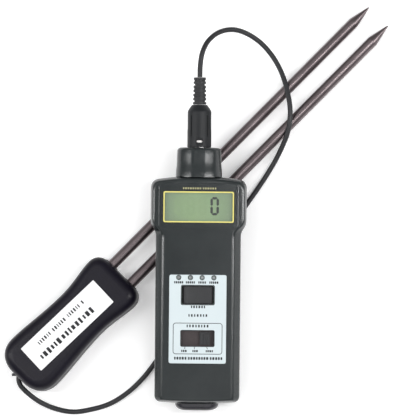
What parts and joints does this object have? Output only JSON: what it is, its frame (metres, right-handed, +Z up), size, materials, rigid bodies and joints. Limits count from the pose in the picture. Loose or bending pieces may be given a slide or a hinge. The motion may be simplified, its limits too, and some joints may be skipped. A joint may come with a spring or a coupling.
{
  "type": "grain moisture meter",
  "caption": "Hand-held moisture meter with display, label panel and slide switch, its cord plugged in at the head and running to a bone-shaped handle that holds pointed steel electrode rods.",
  "frame": {"origin": "middle of the footprint of the meter and probe on the table plane, with the cord and its plug left out", "axes": "+Z up from the table; +Y along the meter, from its bottom end to its head, as nearly as the meter lies; +X to the right seen from above"},
  "size_m": [0.25, 0.2636, 0.0433],
  "materials": {
    "case_plastic": "finely textured charcoal moulded case",
    "handle_plastic": "satin purple-black moulded grip",
    "dark_plastic": "satin near-black plastic",
    "black_rubber": "satin black flexible PVC or rubber",
    "gloss_black": "glossy smoked black",
    "button_plastic": "brownish grey moulded key plastic",
    "label_sheet": "pale bluish white printed sheet",
    "window": "clear window with a slight green cast",
    "lcd": "grey-green reflective liquid crystal",
    "zebra": "layered silicone contact strip",
    "lamp": "smoked diode body",
    "rod_steel": "drawn and polished steel",
    "small_steel": "plated steel",
    "brass": "turned brass",
    "cell": null,
    "board": "green solder mask",
    "chip": "black moulded package",
    "carrier": "ivory insulating block"
  },
  "bodies": {
    "meter": {"front_case": "case_plastic", "rear_case": "case_plastic", "battery_1": "cell", "battery_2": "cell", "battery_3": "cell", "battery_4": "cell", "spring_contact_1": "small_steel", "spring_contact_2": "small_steel", "plate_contact_1": "small_steel", "plate_contact_2": "small_steel", "plate_contact_3": "small_steel", "display_lens": "window", "lcd_glass": "lcd", "lcd_holder": "dark_plastic", "zebra_strip": "zebra", "label_panel": "label_sheet", "push_switch": "dark_plastic", "slide_switch": "small_steel", "lamp_1": "lamp", "lamp_2": "lamp", "lamp_3": "lamp", "lamp_4": "lamp", "main_board": "board", "controller_chip": "chip", "board_screw_1": "small_steel", "board_screw_2": "small_steel", "case_screw_1": "small_steel", "case_screw_2": "small_steel", "case_screw_3": "small_steel", "case_screw_4": "small_steel", "collar": "case_plastic", "socket_body": "dark_plastic", "bottom_plug": "gloss_black"},
    "select_button": {"select_button": "button_plastic"},
    "function_slider": {"function_knob": "button_plastic", "slider_shutter": "button_plastic", "switch_lever": "dark_plastic"},
    "battery_door": {"battery_door": "case_plastic"},
    "probe_set": {"plug_shell": "dark_plastic", "plug_skirt": "small_steel", "plug_core": "black_rubber", "plug_pin": "brass", "plug_screw": "small_steel", "strain_relief": "black_rubber", "handle_front": "handle_plastic", "handle_back": "handle_plastic", "handle_label": "label_sheet", "electrode_rod_1": "rod_steel", "electrode_rod_2": "rod_steel", "rod_bush_1": "black_rubber", "rod_bush_2": "black_rubber", "rod_carrier": "carrier", "rod_nut_1": "brass", "rod_nut_2": "brass", "sensor_board": "board", "handle_screw_1": "small_steel", "handle_screw_2": "small_steel", "handle_screw_3": "small_steel", "cord_grommet": "black_rubber", "cord": "black_rubber"}
  },
  "joints": [
    {"name": "select_press", "type": "slide", "parent": "meter", "child": "select_button", "axis": [-0.1279, 0.0828, -0.9883], "range_m": [0, 0.0012], "stiffness_N_per_m": 800},
    {"name": "function_slide", "type": "slide", "parent": "meter", "child": "function_slider", "axis": [0.9915, -0.0121, -0.1293], "range_m": [-0.0116, 0]},
    {"name": "battery_door_slide", "type": "slide", "parent": "meter", "child": "battery_door", "axis": [-0.0227, -0.9965, -0.0805], "range_m": [0, 0.02]},
    {"name": "plug_pull", "type": "slide", "parent": "meter", "child": "probe_set", "axis": [0.0227, 0.9965, 0.0805], "range_m": [0, 0.014]}
  ]
}
